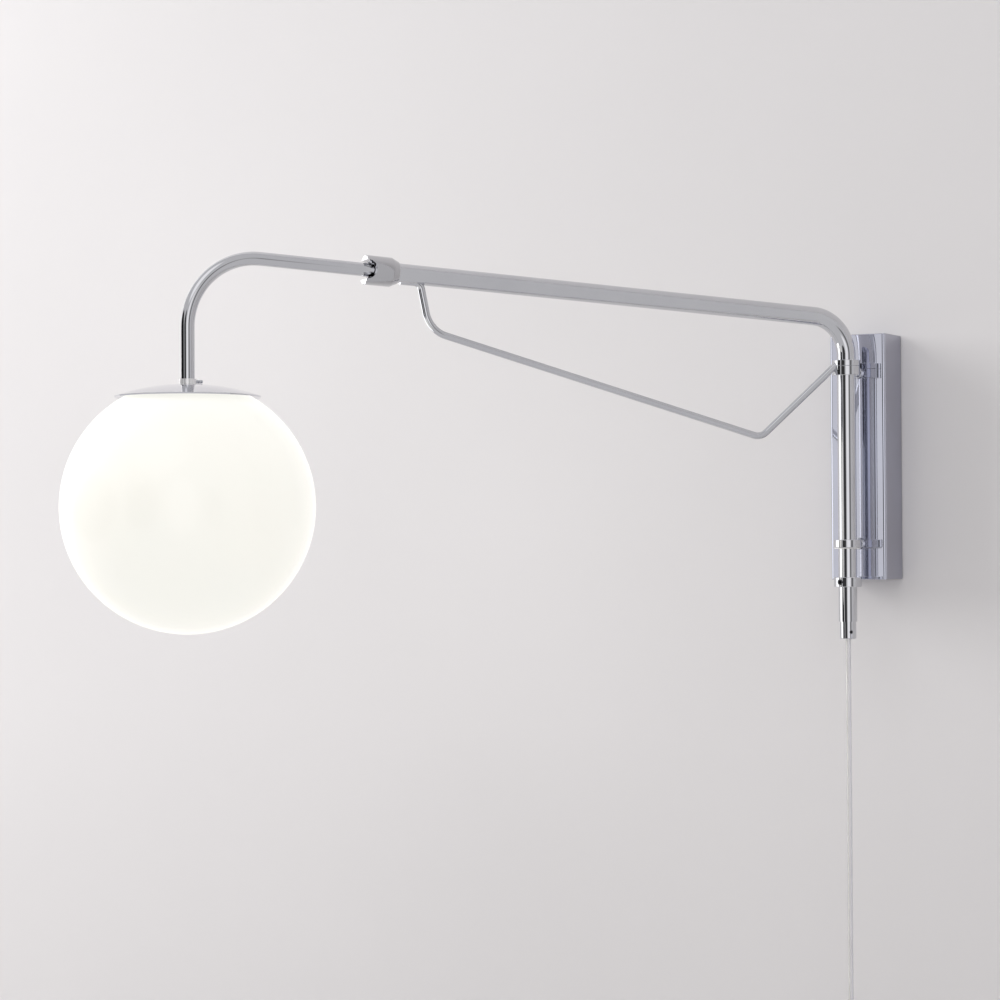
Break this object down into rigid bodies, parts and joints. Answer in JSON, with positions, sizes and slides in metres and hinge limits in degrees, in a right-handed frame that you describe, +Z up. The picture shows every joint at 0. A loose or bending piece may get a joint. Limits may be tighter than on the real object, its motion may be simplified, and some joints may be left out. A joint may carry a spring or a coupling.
{
  "type": "swing arm wall lamp",
  "caption": "Chromed wall lamp: a telescoping, braced arm swings on stand-off rings at a slim wall box and carries a domed cap and an opal globe.",
  "frame": {"origin": "centre of the wall box's open back on the wall, midway between the two wall screws", "axes": "+Z up, +Y into the wall, +X along the wall to the viewer's right"},
  "size_m": [0.4987, 0.631, 0.8825],
  "materials": {
    "chrome": "mirror polished plating",
    "zinc_steel": "bright zinc plating",
    "dark_steel": "black oxide",
    "spring_steel": "satin",
    "white_nylon": "matt",
    "clear_cord": "clear flexible sheath over fine conductors",
    "tie_plastic": "matt",
    "plug_plastic": "smooth moulding",
    "plated_brass": "nickel plated",
    "opal_glass": "gloss opal, white all through",
    "holder_plastic": "moulded",
    "ceramic": "unglazed insulator",
    "bulb_glass": "inside frosted"
  },
  "bodies": {
    "root": {"wall_box": "chrome", "wall_plate": "zinc_steel", "box_lock_screws": "dark_steel", "upper_bracket": "chrome", "lower_bracket": "chrome", "upper_bush": "white_nylon", "lower_bush": "white_nylon", "bracket_washers": "zinc_steel", "bracket_nuts": "zinc_steel", "supply_cord": "clear_cord", "cord_hank": "clear_cord", "hank_tie": "tie_plastic", "plug_lead": "clear_cord", "plug_body": "plug_plastic", "plug_pins": "plated_brass"},
    "arm": {"outer_arm_tube": "chrome", "brace_rod": "chrome", "brace_collar": "chrome", "retaining_collar": "chrome", "retaining_set_screw": "dark_steel", "end_ferrule": "chrome", "ferrule_screw": "dark_steel", "collet_body": "chrome", "arm_cable": "clear_cord"},
    "clamp_nut": {"clamp_nut": "chrome"},
    "slide_carriage": {"rear_guide_bush": "white_nylon"},
    "gooseneck": {"gooseneck_tube": "chrome", "cap_collar": "chrome", "cap_screw": "zinc_steel", "shade_cap": "chrome", "opal_globe": "opal_glass", "threaded_nipple": "zinc_steel", "nipple_nuts": "zinc_steel", "globe_clip": "spring_steel", "holder_shell": "holder_plastic", "holder_core": "ceramic", "holder_sleeve": "plated_brass", "centre_contact": "plated_brass", "bulb_base": "plated_brass", "bulb_glass": "bulb_glass", "gooseneck_cable": "clear_cord"}
  },
  "joints": [
    {"name": "arm_swing", "type": "hinge", "parent": "root", "child": "arm", "pos_m": [0, -0.062, 0], "axis": [0, 0, 1], "range_deg": [-47.7, 122.3]},
    {"name": "clamp_nut_turn", "type": "hinge", "parent": "arm", "child": "clamp_nut", "pos_m": [-0.26007, -0.40339, 0.14622], "axis": [-0.6048, -0.7939, 0.0623], "range_deg": [0, 270]},
    {"name": "arm_slide", "type": "slide", "parent": "arm", "child": "slide_carriage", "axis": [-0.6048, -0.7939, 0.0623], "range_m": [-0.08, 0.09]},
    {"name": "gooseneck_roll", "type": "hinge", "parent": "slide_carriage", "child": "gooseneck", "pos_m": [-0.26007, -0.40339, 0.14622], "axis": [0.6048, 0.7939, -0.0623], "range_deg": [-90, 90]}
  ]
}
